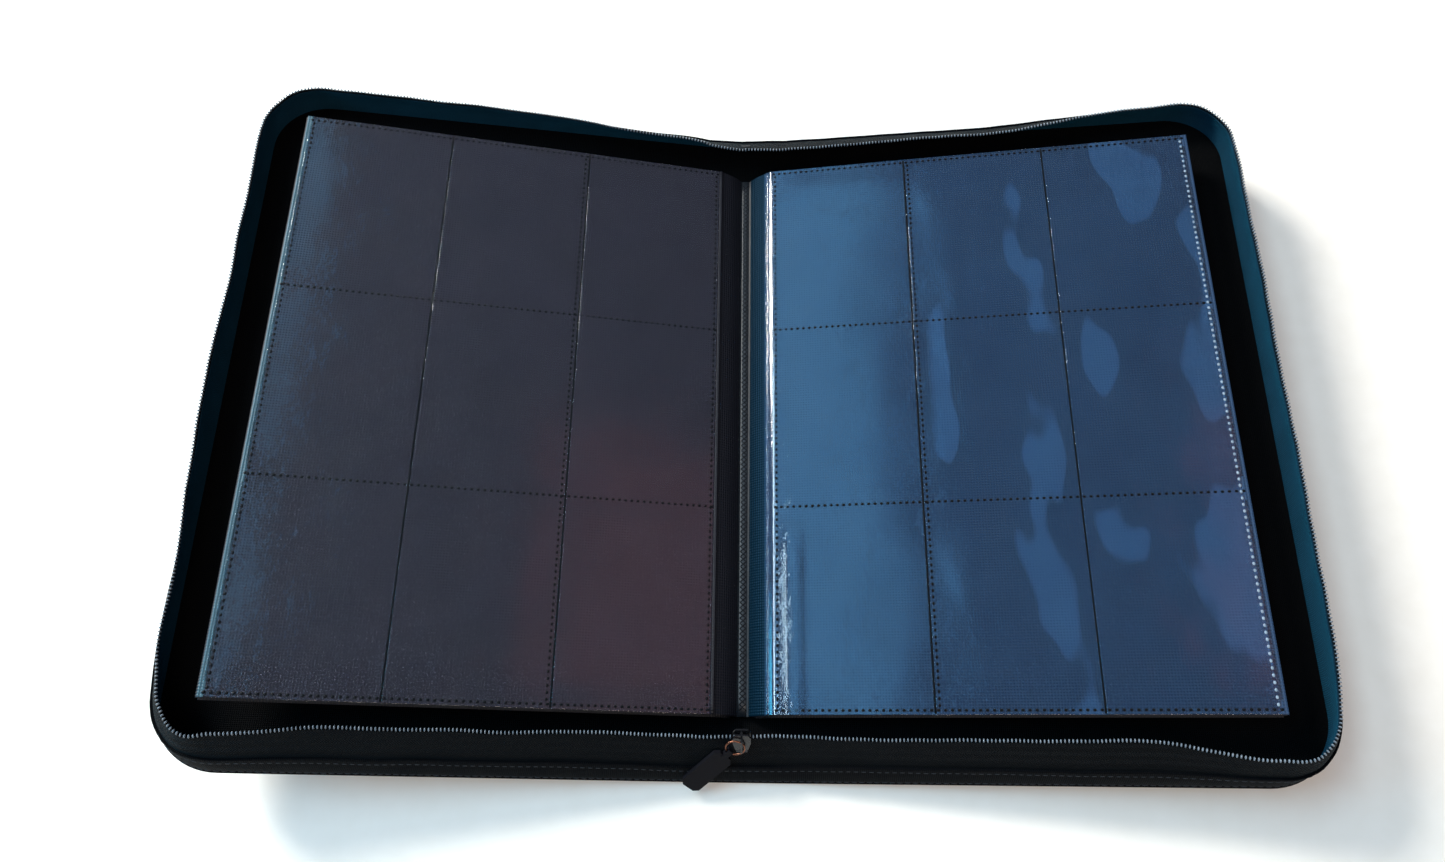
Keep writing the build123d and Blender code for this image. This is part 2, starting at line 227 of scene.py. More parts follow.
def travelled(points, axis):
    """Distance travelled along one direction of a grid of points."""
    steps = np.linalg.norm(np.diff(points, axis=axis), axis=2)
    start = np.zeros_like(np.take(steps, [0], axis=axis))
    return np.concatenate([start, np.cumsum(steps, axis=axis)], axis=axis)


def with_close_rim(grid):
    """A grid with one more line close beside each side, which keeps its faces' shading flat."""
    for axis in (0, 1):
        grid = np.swapaxes(grid, 0, axis)
        first = grid[:1] + (grid[1:2] - grid[:1]) * RIM_SHARE
        last = grid[-1:] + (grid[-2:-1] - grid[-1:]) * RIM_SHARE
        grid = np.concatenate([grid[:1], first, grid[1:-1], last, grid[-1:]])
        grid = np.swapaxes(grid, 0, axis)
    return grid


def slab(name, surface, thickness, material):
    """Closed sheet: a grid of middle points, given its thickness along the grid's normals."""
    surface = np.asarray(surface, float)
    normal = unit(np.cross(np.gradient(surface, axis=0), np.gradient(surface, axis=1)))
    half = np.broadcast_to(thickness, surface.shape[:2])[..., None] / 2
    whole = with_close_rim(np.concatenate([surface, normal, half], -1))
    surface, normal, half = whole[..., :3], whole[..., 3:6], whole[..., 6:]
    rows, columns = surface.shape[:2]
    top = (surface + normal * half).reshape(-1, 3)
    bottom = (surface - normal * half).reshape(-1, 3)
    index = np.arange(rows * columns).reshape(rows, columns)
    upper = np.stack([index[:-1, :-1], index[1:, :-1], index[1:, 1:], index[:-1, 1:]], -1)
    lower = upper[..., ::-1] + rows * columns
    loop = np.concatenate([index[:, 0], index[-1, 1:], index[-2::-1, -1], index[0, -2:0:-1]])
    after = np.roll(loop, -1)
    rim = np.stack([loop, after, after + rows * columns, loop + rows * columns], -1)
    faces = np.concatenate([upper.reshape(-1, 4), lower.reshape(-1, 4), rim]).tolist()
    uv = np.stack([travelled(surface, 0), travelled(surface, 1)], -1).reshape(-1, 2)
    points = np.concatenate([top, bottom])
    return build(name, points, faces, np.concatenate([uv, uv]), material, len(rim))


def strand(name, path, across, rise, section, material):
    """Closed bar: a round of (across, rise) points swept along a path and capped."""
    rings = [path + across * a + rise * b for a, b in section]
    grid = np.stack(rings, 1)
    count, sides = grid.shape[:2]
    index = np.arange(count * sides).reshape(count, sides)
    turned = np.roll(index, -1, axis=1)
    sheath = np.stack([index[:-1], turned[:-1], turned[1:], index[1:]], -1).reshape(-1, 4)
    faces = sheath.tolist() + [index[0].tolist(), index[-1].tolist()]
    uv = np.stack([travelled(grid, 0), travelled(grid, 1)], -1).reshape(-1, 2)
    return build(name, grid.reshape(-1, 3), faces, uv, material, 2)


def oval(width, height, count, power=1.0):
    """Points round an oval section; a power under 1 squares it."""
    turns = [2 * pi * k / count for k in range(count)]
    return [
        (
            width / 2 * np.sign(cos(a)) * abs(cos(a)) ** power,
            height / 2 * np.sign(sin(a)) * abs(sin(a)) ** power,
        )
        for a in turns
    ]


def join(title, parts):
    """Several meshes as one piece."""
    whole = bmesh.new()
    for part in parts:
        whole.from_mesh(part.data)
    mesh = bpy.data.meshes.new(title)
    whole.to_mesh(mesh)
    whole.free()
    material = parts[0].data.materials[0]
    for part in parts:
        bpy.data.objects.remove(part)
    return make_object(title, mesh, material)


# ---- node helpers


def linear(colour):
    """An sRGB hex colour as linear RGBA."""
    parts = [int(colour[k : k + 2], 16) / 255 for k in (1, 3, 5)]
    return [p / 12.92 if p <= 0.04045 else ((p + 0.055) / 1.055) ** 2.4 for p in parts] + [1.0]


def add(tree, kind, settings=None, links=None):
    """Add a node, set its sockets and properties, and link sockets into it."""
    made = tree.nodes.new(kind)
    for key, value in (settings or {}).items():
        if isinstance(key, int) or key in made.inputs:
            made.inputs[key].default_value = value
        else:
            setattr(made, key, value)
    for key, socket in (links or {}).items():
        tree.links.new(socket, made.inputs[key])
    return made


def new_material(name, settings, by_uv=True):
    """A material with its shader, and the coordinates that its patterns read, in metres."""
    material = bpy.data.materials.new(name)
    material.use_nodes = True
    tree = material.node_tree
    shader = tree.nodes["Principled BSDF"]
    for key, value in settings.items():
        shader.inputs[key].default_value = value
    if by_uv:
        place = add(tree, "ShaderNodeUVMap", {"uv_map": "Cloth"}).outputs[0]
    else:
        place = add(tree, "ShaderNodeTexCoord").outputs["Object"]
    return material, tree, shader, place


def blend_colours(tree, factor, low, high):
    """A colour between two, by a factor."""
    stops = add(tree, "ShaderNodeMix", {"data_type": "RGBA"}, {"Factor": factor})
    stops.inputs[6].default_value = linear(low)
    stops.inputs[7].default_value = linear(high)
    return stops.outputs[2]


def finish_shader(tree, shader, colour, rough_factor, rough, height, depth):
    """Colour, roughness between two values, and bump of a real depth in metres."""
    tree.links.new(colour, shader.inputs["Base Color"])
    spreading = add(
        tree, "ShaderNodeMapRange", {"To Min": rough[0], "To Max": rough[1]},
        {"Value": rough_factor},
    )
    tree.links.new(spreading.outputs[0], shader.inputs["Roughness"])
    bump = add(tree, "ShaderNodeBump", {"Strength": 1.0, "Distance": depth}, {"Height": height})
    tree.links.new(bump.outputs[0], shader.inputs["Normal"])


def combine(tree, operation, first, second):
    """Two values joined by arithmetic; either may be a plain number."""
    made = add(tree, "ShaderNodeMath", {"operation": operation})
    for slot, value in enumerate((first, second)):
        if isinstance(value, (int, float)):
            made.inputs[slot].default_value = value
        else:
            tree.links.new(value, made.inputs[slot])
    return made.outputs[0]


WAVE_PERIOD = 2 * pi / 20  # width of one band of a wave texture of scale 1


def thread(tree, place, direction, spacing, distortion=0.0):
    """Rows of thread that run across a direction, at a real spacing in millimetres."""
    return add(
        tree, "ShaderNodeTexWave",
        {
            "wave_type": "BANDS", "bands_direction": direction,
            "Scale": WAVE_PERIOD / (spacing * MM), "Distortion": distortion,
            "Detail": 1.0, "Detail Scale": 2.0,
        },
        {"Vector": place},
    ).outputs["Fac"]


def grain(tree, place, size, detail=3.0):
    """Cloudy variation whose patches are about a size in millimetres."""
    return add(
        tree, "ShaderNodeTexNoise", {"Scale": 1 / (size * MM), "Detail": detail},
        {"Vector": place},
    ).outputs["Fac"]


# ---- materials


def woven_polyester(name, dark, light, sheen_tint, sheen=0.015):
    """Matt coated polyester: near black, a fine weave and a faint cold sheen at its folds."""
    settings = {
        "Sheen Weight": sheen, "Sheen Roughness": 0.4, "Sheen Tint": linear(sheen_tint),
        "Specular IOR Level": 0.05,
    }
    material, tree, shader, place = new_material(name, settings)
    # The real threads are 0.4 mm apart; 0.9 mm is the finest that shows.
    warp = thread(tree, place, "X", 0.9, 0.6)
    weft = thread(tree, place, "Y", 0.9, 0.6)
    cloth = combine(tree, "MULTIPLY", warp, weft)
    patches = grain(tree, place, 18.0)
    worn = combine(tree, "MULTIPLY", combine(tree, "ADD", cloth, patches), 0.5)
    colour = blend_colours(tree, worn, dark, light)
    height = combine(tree, "ADD", cloth, combine(tree, "MULTIPLY", patches, 2.0))
    finish_shader(tree, shader, colour, patches, (0.55, 0.85), height, 0.00025)
    return material


def zip_tape_cloth():
    """Knitted polyester tape: soft, dark, with ribs along it and a herringbone."""
    settings = {
        "Sheen Weight": 0.06, "Sheen Roughness": 0.35, "Sheen Tint": linear("#2f7f9c"),
        "Specular IOR Level": 0.1,
    }
    material, tree, shader, place = new_material("zip tape knit", settings)
    parts = add(tree, "ShaderNodeSeparateXYZ", {}, {"Vector": place})
    # Chevrons 2 mm wide, coarser than the real 1 mm so that they show.
    fold = combine(tree, "PINGPONG", parts.outputs["Y"], 0.002)
    slant = combine(tree, "ADD", parts.outputs["X"], fold)
    ribs = combine(tree, "SINE", combine(tree, "MULTIPLY", slant, 2 * pi / 0.0012), 0.0)
    fuzz = grain(tree, place, 2.5)
    colour = blend_colours(tree, fuzz, "#020304", "#070b0f")
    height = combine(tree, "ADD", ribs, fuzz)
    finish_shader(tree, shader, colour, fuzz, (0.6, 0.9), height, 0.00012)
    return material


def past(tree, place, start, fade):
    """Nothing before a distance along a sheet's X and one beyond it, in millimetres."""
    along = add(tree, "ShaderNodeSeparateXYZ", {}, {"Vector": place}).outputs["X"]
    return add(
        tree, "ShaderNodeMapRange", {"From Min": start * MM, "From Max": (start + fade) * MM},
        {"Value": along},
    ).outputs[0]


def reflection_blots(tree, place, start):
    """Long blots of painted reflection with clear borders, past a distance in millimetres along
    the sheet's X.
    """
    squeezed = add(
        tree, "ShaderNodeVectorMath", {"operation": "MULTIPLY", 1: (1.0, 0.42, 1.0)}, {0: place}
    ).outputs[0]
    cloud = grain(tree, squeezed, 42.0, 2.0)
    blots = add(
        tree, "ShaderNodeMapRange", {"From Min": 0.55, "From Max": 0.57}, {"Value": cloud}
    ).outputs[0]
    return combine(tree, "MULTIPLY", blots, past(tree, place, start, 4))


def mixed_in(tree, factor, colour, other):
    """A colour socket changed to another colour by a factor."""
    made = add(tree, "ShaderNodeMix", {"data_type": "RGBA"}, {"Factor": factor, 6: colour})
    made.inputs[7].default_value = linear(other)
    return made.outputs[2]


def embossed_sheet(name, dark, light, rough, stand_off_reflection=None, margin=None, tint="#ffffff"):
    """Polypropylene leaf: dark and satin, pressed all over with fine dots.

    stand_off_reflection gives the painted reflection seen in blots where the film stands off the
    sheet, and where those start;
    margin gives the painted shade beside the binding and where it ends;
    tint colours what the sheet mirrors.
    """
    settings = {"IOR": 1.49, "Specular IOR Level": 0.3, "Specular Tint": linear(tint)}
    material, tree, shader, place = new_material(name, settings)
    # Dots 1.3 mm apart, coarser than the real 0.8 mm so that they show.
    dots = add(
        tree, "ShaderNodeTexVoronoi", {"Scale": 1 / (1.3 * MM), "Randomness": 0.1},
        {"Vector": place},
    ).outputs["Distance"]
    clouds = grain(tree, place, 45.0)
    mixed = combine(
        tree, "ADD", combine(tree, "MULTIPLY", dots, 1.1), combine(tree, "MULTIPLY", clouds, 0.3)
    )
    colour = blend_colours(tree, mixed, dark, light)
    # Painted reflection: paler blots where the film stands off the sheet.
    if stand_off_reflection:
        colour = mixed_in(tree, reflection_blots(tree, place, stand_off_reflection[1]), colour, stand_off_reflection[0])
    if margin:
        # Painted shade: darker beside the binding, up to the given end.
        inside = combine(tree, "SUBTRACT", 1.0, past(tree, place, margin[1], 1.5))
        colour = mixed_in(tree, inside, colour, margin[0])
    finish_shader(tree, shader, colour, clouds, rough, dots, 0.0004)
    return material


def clear_film():
    """Cast polypropylene film: clear, glossy and slightly wavy, so that reflections wander."""
    settings = {
        "IOR": 1.49, "Transmission Weight": 1.0, "Coat Weight": 0.25, "Coat Roughness": 0.06
    }
    material, tree, shader, place = new_material("clear pocket film", settings)
    waves = grain(tree, place, 26.0, 2.0)
    peel = grain(tree, place, 3.0, 2.0)
    colour = blend_colours(tree, waves, "#dde6ee", "#f2f6fa")
    height = combine(tree, "ADD", combine(tree, "MULTIPLY", waves, 6.0), peel)
    finish_shader(tree, shader, colour, waves, (0.05, 0.10), height, 0.00009)
    return material


def moulded(name, dark, light, rough, grit, depth, settings):
    """Moulded or drawn part: a cloudy tone with a fine grit of a size in millimetres."""
    material, tree, shader, place = new_material(name, settings, by_uv=False)
    clouds = grain(tree, place, grit * 8)
    specks = grain(tree, place, grit)
    colour = blend_colours(tree, clouds, dark, light)
    finish_shader(tree, shader, colour, clouds, rough, specks, depth)
    return material


OUTER_FABRIC = woven_polyester("outer polyester cloth", "#020306", "#090d14", "#35507a")
LINING_FABRIC = woven_polyester("lining cloth", "#020203", "#050709", "#24384a")
WALL_FABRIC = woven_polyester("wall cloth", "#020304", "#070b11", "#2f5a72")
NAPPED_LINING = woven_polyester("napped wall lining", "#081c28", "#194158", "#2b86a8", 0.3)
BINDING_FABRIC = woven_polyester("edge binding cloth", "#020304", "#06090e", "#39537c")
TAPE_FABRIC = zip_tape_cloth()
LEAF_SHEET = embossed_sheet("embossed leaf sheet", "#07080c", "#161822", (0.4, 0.55))
# The top leaves are seen through clear film; their sheets are lighter copies of the leaf sheet
# with painted reflection: plum on the front side, navy-blue on the back.
FRONT_TOP_SHEET_LIT = embossed_sheet("front top sheet with painted reflection", "#111019", "#373447", (0.4, 0.55))
# The back one also has long blots of painted reflection past 92 mm and painted shade beside the
# binding.
BACK_TOP_SHEET_LIT = embossed_sheet(
    "back top sheet with painted reflection", "#10263b", "#345679", (0.4, 0.55),
    ("#3a6288", 92.0), ("#021019", 9.5), "#4a9cd6",
)
# Border of a leaf outside its welds: two layers pressed into one, paler and smooth.
LEAF_EDGES = {
    "front": embossed_sheet("front leaf border", "#1f3844", "#406676", (0.3, 0.42)),
    "back": embossed_sheet("back leaf border", "#14243a", "#2b4564", (0.34, 0.46)),
}
POCKET_FILM = clear_film()
# Satin nylon: small pale teeth that glint one by one.
NYLON = moulded("zip nylon", "#3a444e", "#8593a0", (0.2, 0.36), 0.6, 0.00004, {"IOR": 1.53})
# Weld marks: film and sheet melted together by a hot tool, dark and nearly matt.
WELD = moulded(
    "hot weld", "#010306", "#070e17", (0.4, 0.55), 0.5, 0.00003, {"Specular IOR Level": 0.12}
)
# Painted glints: pale dots, used for the welds along the back leaf's free edge.
PAINTED_GLINT_WELD = moulded(
    "weld dots with painted glints", "#5c7488", "#9fb4c6", (0.15, 0.3), 0.5, 0.00003, {"IOR": 1.49}
)
# Stitching thread: spun polyester, matt and fibrous.
SEWING_THREAD = moulded("sewing thread", "#0d1117", "#29323c", (0.6, 0.85), 0.3, 0.00005, {})
# Stiffener: black pulp board, dull and flecked.
PULP_BOARD = moulded("black pulp board", "#0b0b0c", "#1b1b1d", (0.8, 0.95), 0.8, 0.00008, {})
# Welded tape under the leaves: smooth dark plastic.
BINDING_TAPE = moulded("binding tape", "#0c1015", "#1c242c", (0.35, 0.5), 0.8, 0.00004, {})
END_STOP = moulded("moulded zip stop", "#14171b", "#23282e", (0.4, 0.55), 0.4, 0.00003, {})
# Black enamel over cast zinc: deep, glossy, with a faint orange peel.
ENAMEL = moulded(
    "black slider enamel", "#050608", "#101216", (0.2, 0.38), 0.5, 0.00003,
    {"Coat Weight": 0.25, "Coat Roughness": 0.12},
)
# Copper-plated wire: warm, bright, drawn along its length.
COPPER = moulded(
    "copper wire", "#573629", "#96644f", (0.22, 0.4), 0.3, 0.00002, {"Metallic": 1.0}
)
# Soft PVC pull: matt charcoal with a fine moulded grain.
SOFT_PVC = moulded(
    "soft pull", "#050509", "#0c0c14", (0.55, 0.7), 0.35, 0.00005, {"Specular IOR Level": 0.12}
)
# Paper sweep under the binder: plain and pale, with barely any tooth.
PAPER = moulded("pale paper", "#f0ece4", "#f8f5ef", (0.75, 0.9), 1.5, 0.00002, {})


# ---- things in rows


def rows_tree():
    """Geometry Nodes that set a small rounded block at even steps along lines."""
    tree = bpy.data.node_groups.new("blocks along lines", "GeometryNodeTree")
    kinds = {"Lines": "Geometry", "Pitch": "Float", "Block": "Vector", "Finish": "Material"}
    for label, kind in kinds.items():
        tree.interface.new_socket(label, in_out="INPUT", socket_type=f"NodeSocket{kind}")
    tree.interface.new_socket("Blocks", in_out="OUTPUT", socket_type="NodeSocketGeometry")
    given = add(tree, "NodeGroupInput").outputs
    curve = add(tree, "GeometryNodeMeshToCurve", {}, {"Mesh": given["Lines"]})
    even = add(
        tree, "GeometryNodeResampleCurve", {"mode": "LENGTH"},
        {"Curve": curve.outputs[0], "Length": given["Pitch"]},
    )
    tangent = add(tree, "GeometryNodeInputTangent")
    rise = add(
        tree, "GeometryNodeInputNamedAttribute", {"data_type": "FLOAT_VECTOR", "Name": "rise"}
    )
    forward = add(
        tree, "FunctionNodeAlignRotationToVector", {"axis": "X"}, {"Vector": tangent.outputs[0]}
    )
    upright = add(
        tree, "FunctionNodeAlignRotationToVector", {"axis": "Z", "pivot_axis": "X"},
        {"Rotation": forward.outputs[0], "Vector": rise.outputs[0]},
    )
    cube = add(tree, "GeometryNodeMeshCube", {"Size": (BLOCK_CUBE, BLOCK_CUBE, BLOCK_CUBE)})
    rounded = add(
        tree, "GeometryNodeSubdivisionSurface", {"Level": 1}, {"Mesh": cube.outputs["Mesh"]}
    )
    soft = add(tree, "GeometryNodeSetShadeSmooth", {}, {"Geometry": rounded.outputs[0]})
    placing = {
        "Points": even.outputs[0], "Instance": soft.outputs[0],
        "Rotation": upright.outputs[0], "Scale": given["Block"],
    }
    placed = add(tree, "GeometryNodeInstanceOnPoints", {}, placing)
    real = add(tree, "GeometryNodeRealizeInstances", {}, {"Geometry": placed.outputs[0]})
    coloured = add(
        tree, "GeometryNodeSetMaterial", {},
        {"Geometry": real.outputs[0], "Material": given["Finish"]},
    )
    add(tree, "NodeGroupOutput", {}, {"Blocks": coloured.outputs[0]})
    return tree


ROWS_TREE = rows_tree()


def rows(name, lines, pitch, block, material):
    """A plain mesh of small blocks along lines; each line is (points, rise) in millimetres."""
    points, edges, rises = [], [], []
    for line, rise in lines:
        start = len(points)
        line = np.asarray(line, float)
        points += (line * MM).tolist()
        rises += np.broadcast_to(rise, line.shape).tolist()
        edges += [(k, k + 1) for k in range(start, len(points) - 1)]
    base = bpy.data.meshes.new(f"{name} lines")
    base.from_pydata(points, edges, [])
    layer = base.attributes.new("rise", "FLOAT_VECTOR", "POINT")
    layer.data.foreach_set("vector", np.array(rises, np.float32).ravel())
    carrier = make_object(f"{name} carrier", base, material)
    spacing = carrier.modifiers.new("rows", "NODES")
    spacing.node_group = ROWS_TREE
    given = {"Pitch": pitch * MM, "Block": [size * MM for size in block], "Finish": material}
    for item in ROWS_TREE.interface.items_tree:
        if item.name in given:
            spacing[item.identifier] = given[item.name]
    whole = carrier.evaluated_get(bpy.context.evaluated_depsgraph_get())
    mesh = bpy.data.meshes.new_from_object(whole)
    mesh.name = name
    bpy.data.objects.remove(carrier)
    return make_object(name, mesh, material)


# ---- cover cloth


def cover_turn(name, out):
    """How far cloth has turned into a cover, at points out from the spine."""
    return TILT[name] * smoothstep((out - BEND_START) / (BEND_END - BEND_START))


def bent(name, out, height):
    """X and Z of points out from the middle of the spine, turning up at the hinge."""
    turn = cover_turn(name, out)
    run = out - HINGE_X
    x = HINGE_X + run * np.cos(turn) - height * np.sin(turn)
    z = HINGE_Z + run * np.sin(turn) + height * np.cos(turn)
    return SIDES[name] * x, z


def in_cover(name, out, y, height):
    """Points of a cover and its half of the spine, as an array of X, Y and Z."""
    x, z = bent(name, out, height)
    return np.stack(np.broadcast_arrays(x, y, z), -1)


def cover_rise(name, out):
    """The direction away from a cover's face at points out from the spine."""
    turn = cover_turn(name, out)
    return np.stack([-SIDES[name] * np.sin(turn), 0 * turn, np.cos(turn)], -1)


def follow_cover(piece):
    """Cloth whose place is baked into its mesh."""
    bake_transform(piece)


def hinge_cloth(piece):
    """Flat cloth whose place is baked into its mesh."""
    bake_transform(piece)


def cover_sheet(title, name, low, high, inset, material):
    """Cloth from the middle of the spine to a cover's outer edge, its corners rounded."""
    reach = HINGE_X + COVER_WIDTH - inset
    radius = CORNER - inset
    flat = np.linspace(0, BEND_START, 6)[:-1]
    hinge = np.linspace(BEND_START, BEND_END, 11)[:-1]
    board = np.linspace(BEND_END, reach - radius, 30)[:-1]
    # It stops just short of the edge, where no length is left.
    corner = reach - radius + radius * np.sin(np.linspace(0, pi / 2 - 0.02, 14))
    out = np.concatenate([flat, hinge, board, corner])
    into_corner = np.clip((out - (reach - radius)) / radius, 0, 1)
    half = HALF_LENGTH - inset - radius * (1 - np.sqrt(1 - into_corner**2))
    across = np.linspace(-1, 1, 41)
    grid = in_cover(name, out[:, None], half[:, None] * across[None, :], (low + high) / 2)
    piece = slab(title, grid, high - low, material)
    hinge_cloth(piece)
    return piece


def border_path():
    """Round the three free sides of a cover, from the spine's foot to its head.

    Gives points (out, y), outward directions and the distance travelled.
    """
    straight = HINGE_X + COVER_WIDTH - CORNER
    side = HALF_LENGTH - CORNER
    foot = np.linspace(0, straight, 78)[:-1]
    turn = np.linspace(-pi / 2, 0, 17)[:-1]
    edge = np.linspace(-side, side, 90)[:-1]
    out = np.concatenate(
        [foot, straight + CORNER * np.cos(turn), 0 * edge + straight + CORNER,
         straight + CORNER * np.cos(-turn[::-1]), foot[::-1]]
    )
    y = np.concatenate(
        [0 * foot - HALF_LENGTH, -side + CORNER * np.sin(turn), edge,
         side + CORNER * np.sin(-turn[::-1]), 0 * foot + HALF_LENGTH]
    )
    towards_edge = np.concatenate(
        [0 * foot, np.cos(turn), 0 * edge + 1, np.cos(-turn[::-1]), 0 * foot]
    )
    towards_end = np.concatenate(
        [0 * foot - 1, np.sin(turn), 0 * edge, np.sin(-turn[::-1]), 0 * foot + 1]
    )
    steps = np.hypot(np.diff(out), np.diff(y))
    distance = np.concatenate([[0], np.cumsum(steps)])
    return out, y, towards_edge, towards_end, distance


OUT, ALONG_Y, TOWARDS_EDGE, TOWARDS_END, DISTANCE = border_path()
TOTAL = DISTANCE[-1]
FOOT_CORNER = (HINGE_X + COVER_WIDTH - CORNER, HINGE_X + COVER_WIDTH - CORNER + CORNER * pi / 2)
HEAD_CORNER = (TOTAL - FOOT_CORNER[1], TOTAL - FOOT_CORNER[0])
CORNER_MIDDLES = (sum(FOOT_CORNER) / 2, sum(HEAD_CORNER) / 2)
STATIONS = (
    0, FOOT_CORNER[0] - 60, FOOT_CORNER[0], CORNER_MIDDLES[0], FOOT_CORNER[1] + 25,
    TOTAL / 2, HEAD_CORNER[0] - 25, CORNER_MIDDLES[1], HEAD_CORNER[1] + 10,
    HEAD_CORNER[1] + 110, TOTAL - 40, TOTAL,
)
# How far the wall's top leans in at each station, in millimetres.
LEANS = {
    "front": (LEAN, LEAN, 12, 8, 2, -1.5, -0.5, 1, 2, 4, 10, LEAN),
    "back": (LEAN, 15, 8, 4, 0.5, -1, 0, 2, 5, 15, LEAN, LEAN),
}
WAVES_SEED = {"front": 11, "back": 23}


def wall_grid(name, heights, inwards=0.0):
    """Points of a standing wall at given heights: it leans, bellies out and ripples."""
    height = np.asarray(heights, float)[None, :]
    distance = DISTANCE[:, None]
    share = np.clip((height - TRAY_FLOOR) / (TAPE_TOP - TRAY_FLOOR), 0, 1.1)
    lean = spread(STATIONS, LEANS[name], distance)
    belly = BELLY * np.sin(pi * np.clip(share, 0, 1))
    corners = sum(
        np.exp(-(((distance - middle) / PLEATS_REACH) ** 2)) for middle in CORNER_MIDDLES
    )
    # Height counts for more, which draws the waves out along the wall.
    waves = ripple(distance, height * 2, *WALL_WAVES, WAVES_SEED[name])
    pleats = ripple(distance, height * 1.5, *WALL_PLEATS, WAVES_SEED[name] + 5) * corners
    soft = np.sin(pi / 2 * np.clip(share, 0, 1)) * smoothstep(distance / STILL_END)
    soft = soft * smoothstep((TOTAL - distance) / STILL_END)
    inset = inwards + lean * share**LEAN_CURVE - belly + (waves + pleats) * soft
    out = OUT[:, None] - TOWARDS_EDGE[:, None] * inset
    y = ALONG_Y[:, None] - TOWARDS_END[:, None] * inset
    swell = ripple(distance, 0 * height, *EDGE_WAVES, WAVES_SEED[name] + 9) * share
    return in_cover(name, out, y, height + swell)


def make_cover_cloths(name):
    """Skin and lining, glued over a cover's board and its half of the spine."""
    skin = cover_sheet(
        f"{name}_cover_cloth", name, SKIN_FACE, BOARD_FACE - GLUE_GAP, SKIN_INSET, OUTER_FABRIC
    )
    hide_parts(f"{name}_cover_skin", *(["spine_skin"] if name == "front" else []))
    lining = cover_sheet(
        f"{name}_cover_inner_cloth", name, LINING_FACE + GLUE_GAP, TRAY_FLOOR, LINING_INSET,
        LINING_FABRIC,
    )
    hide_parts(f"{name}_cover_lining", *(["spine_lining"] if name == "front" else []))


def make_wall(name):
    """Standing wall of one cover and the cloth inside it."""
    heights = np.concatenate(
        [np.linspace(WALL_FOOT, WALL_FOLD - 1.2, 9), [WALL_FOLD - 0.4, WALL_FOLD]]
    )
    thick = np.full(len(heights), 1.0)
    thick[-3:] = (1.5, 1.7, 1.3)  # its top edge is folded over
    wall_cut = wall_grid(name, heights, WALL_INSET)
    wall = slab(f"{name}_wall", wall_cut, thick[None, :], WALL_FABRIC)
    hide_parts(f"{name}_gusset_wall", "foot_gusset" if name == "front" else "head_gusset")
    follow_cover(wall)

    inner_cut = wall_grid(name, np.linspace(NAP_FOOT, NAP_TOP, 12), NAP_INSET)
    inner = slab(f"{name}_wall_inner_cloth", inner_cut, NAP_THICKNESS, NAPPED_LINING)
    follow_cover(inner)
    return wall, wall_cut


def make_zip(name):
    """Tape and teeth of one side of the zip."""
    tape_cut = wall_grid(name, np.linspace(TAPE_FOOT, TAPE_TOP, 9), TAPE_INSET)
    tape = slab(f"{name}_zip_cloth", tape_cut, TAPE_THICKNESS, TAPE_FABRIC)
    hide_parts(f"{name}_zip_tape")
    follow_cover(tape)

    edge = wall_grid(name, [TAPE_TOP - 1.0, TEETH], TAPE_INSET)
    stand = unit(edge[:, 1] - edge[:, 0])
    teeth = rows(f"{name}_zip_teeth", [(edge[:, 1], stand)], *TEETH_ROW, NYLON)
    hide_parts(f"{name}_zip_coil")
    follow_cover(teeth)


def make_welt(name):
    """Bound edge round one cover."""
    path = wall_grid(name, [WELT], WELT_INSET)[:, 0]
    outwards = in_cover(name, OUT + TOWARDS_EDGE, ALONG_Y + TOWARDS_END, 0.0)
    outwards = unit(outwards - in_cover(name, OUT, ALONG_Y, 0.0))
    welt = strand(
        f"{name}_edge_welt", path, outwards, cover_rise(name, OUT), oval(2.4, 2.5, 10),
        BINDING_FABRIC,
    )
    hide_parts(f"{name}_edge_binding")
    follow_cover(welt)


def make_stitches(name):
    """Two seams round the outside of one wall."""
    seams = []
    for level in SEAMS:
        line = wall_grid(name, [level - 0.5, level + 0.5], SEAM_INSET)
        face = np.cross(np.gradient(line[:, 0], axis=0), line[:, 1] - line[:, 0])
        seams.append((line.mean(axis=1), unit(face * SIDES[name])))
    stitches = rows(f"{name}_wall_stitches", seams, *STITCH_ROW, SEWING_THREAD)
    follow_cover(stitches)
    return stitches


def make_cover(name):
    """All the cloth, zip and stitching of one cover."""
    make_cover_cloths(name)
    wall, wall_cut = make_wall(name)
    make_zip(name)
    make_welt(name)
    stitches = make_stitches(name)


# ---- leaves


def leaf_lie(name, out, y):
    """How far a stack of leaves rises or sags from flat, fading to nothing at its crease."""
    waves = smoothstep(out / LEAF_SETTLING) * ripple(out, y, *LEAF_WAVES[name])
    return waves - LEAF_SAG * (out / LEAF_WIDTH) ** 2


def in_leaf(name, out, y, above):
    """Points of a leaf: out from its crease, along the spine and above the top leaf's plane."""
    tilt = LEAF_TILT[name]
    lift = above + leaf_lie(name, out, y)
    x = CREASE_X + out * cos(tilt) - lift * sin(tilt)
    z = CREASE_Z + out * sin(tilt) + lift * cos(tilt)
    return np.stack(np.broadcast_arrays(SIDES[name] * x, y, z), -1)


def leaf_directions(name):
    """The directions out along a leaf and away from its face."""
    side, tilt = SIDES[name], LEAF_TILT[name]
    return np.array([side * cos(tilt), 0, sin(tilt)]), np.array([-side * sin(tilt), 0, cos(tilt)])


def rounded_run(start, corner, end, reach, count):
    """Points round a corner between two lines, from a reach before it to a reach after it."""
    before = corner + unit(start - corner) * reach
    after = corner + unit(end - corner) * reach
    share = np.linspace(0, 1, count)[:, None]
    return (1 - share) ** 2 * before + 2 * share * (1 - share) * corner + share**2 * after


